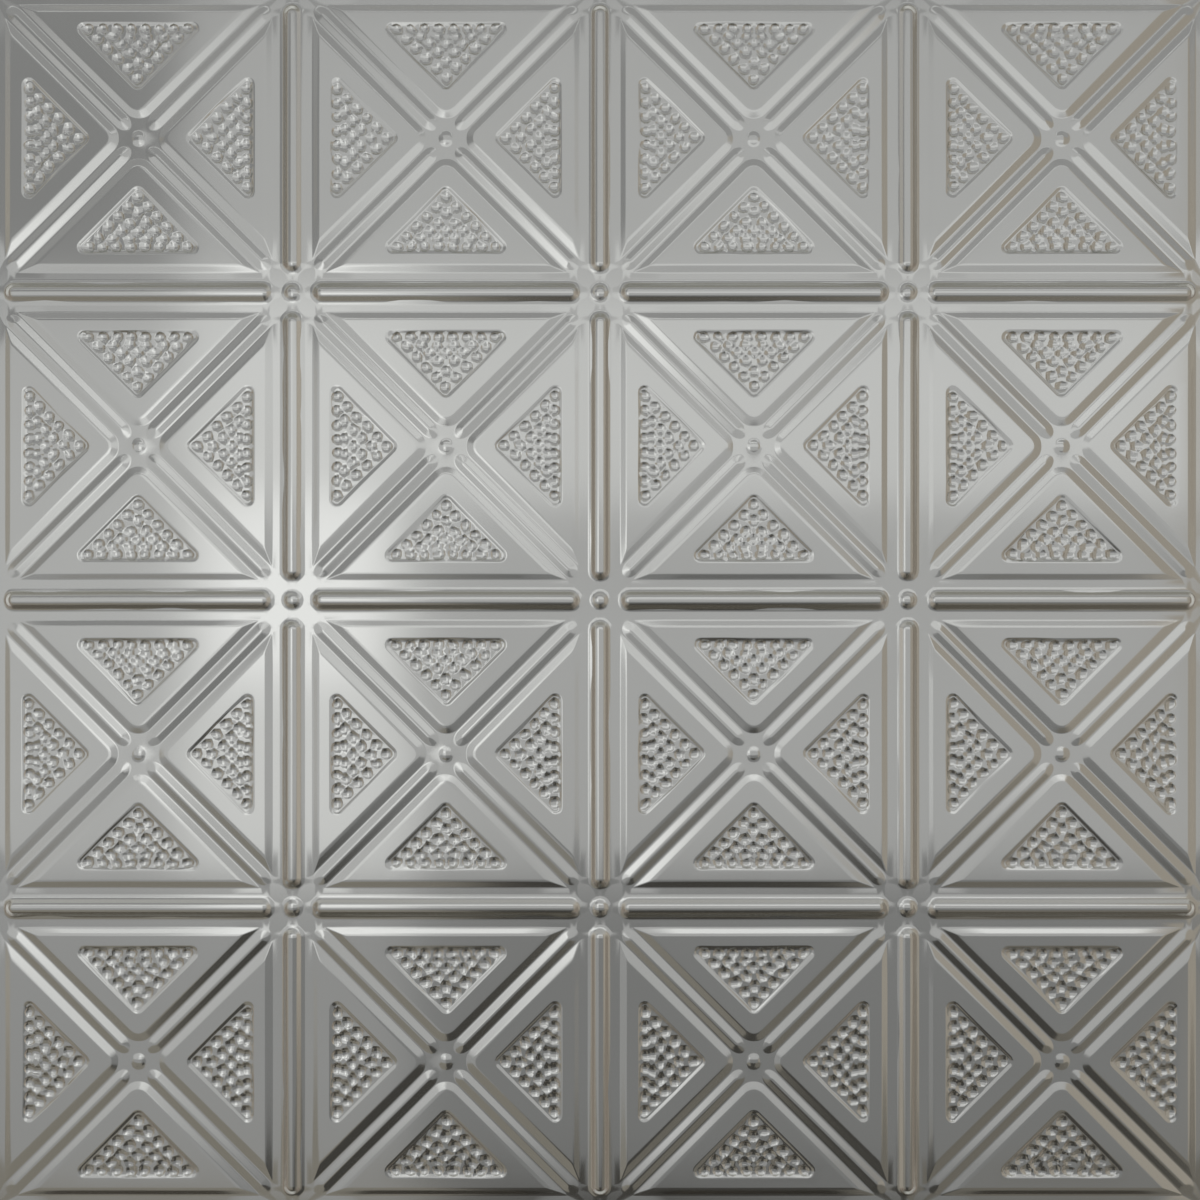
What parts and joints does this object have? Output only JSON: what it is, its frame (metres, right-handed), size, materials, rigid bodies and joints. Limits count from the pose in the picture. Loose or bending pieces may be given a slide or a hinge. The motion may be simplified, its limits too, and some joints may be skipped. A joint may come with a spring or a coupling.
{
  "type": "pressed tin ceiling tile",
  "caption": "Square lay-in ceiling tile of thin tinplate, pressed with rows of square cells of dimpled triangles, diagonal ribs, rounded beads and buttons.",
  "frame": {"origin": "middle of the tile's back, on the plane of its flat rim", "axes": "+Z out of the decorated face, X and Y along the tile's edges"},
  "size_m": [0.6032, 0.6032, 0.0036],
  "materials": {
    "tinplate": "smooth bare tinplate, satin, unpainted"
  },
  "bodies": {
    "root": {"pressed_sheet": "tinplate"}
  },
  "joints": []
}
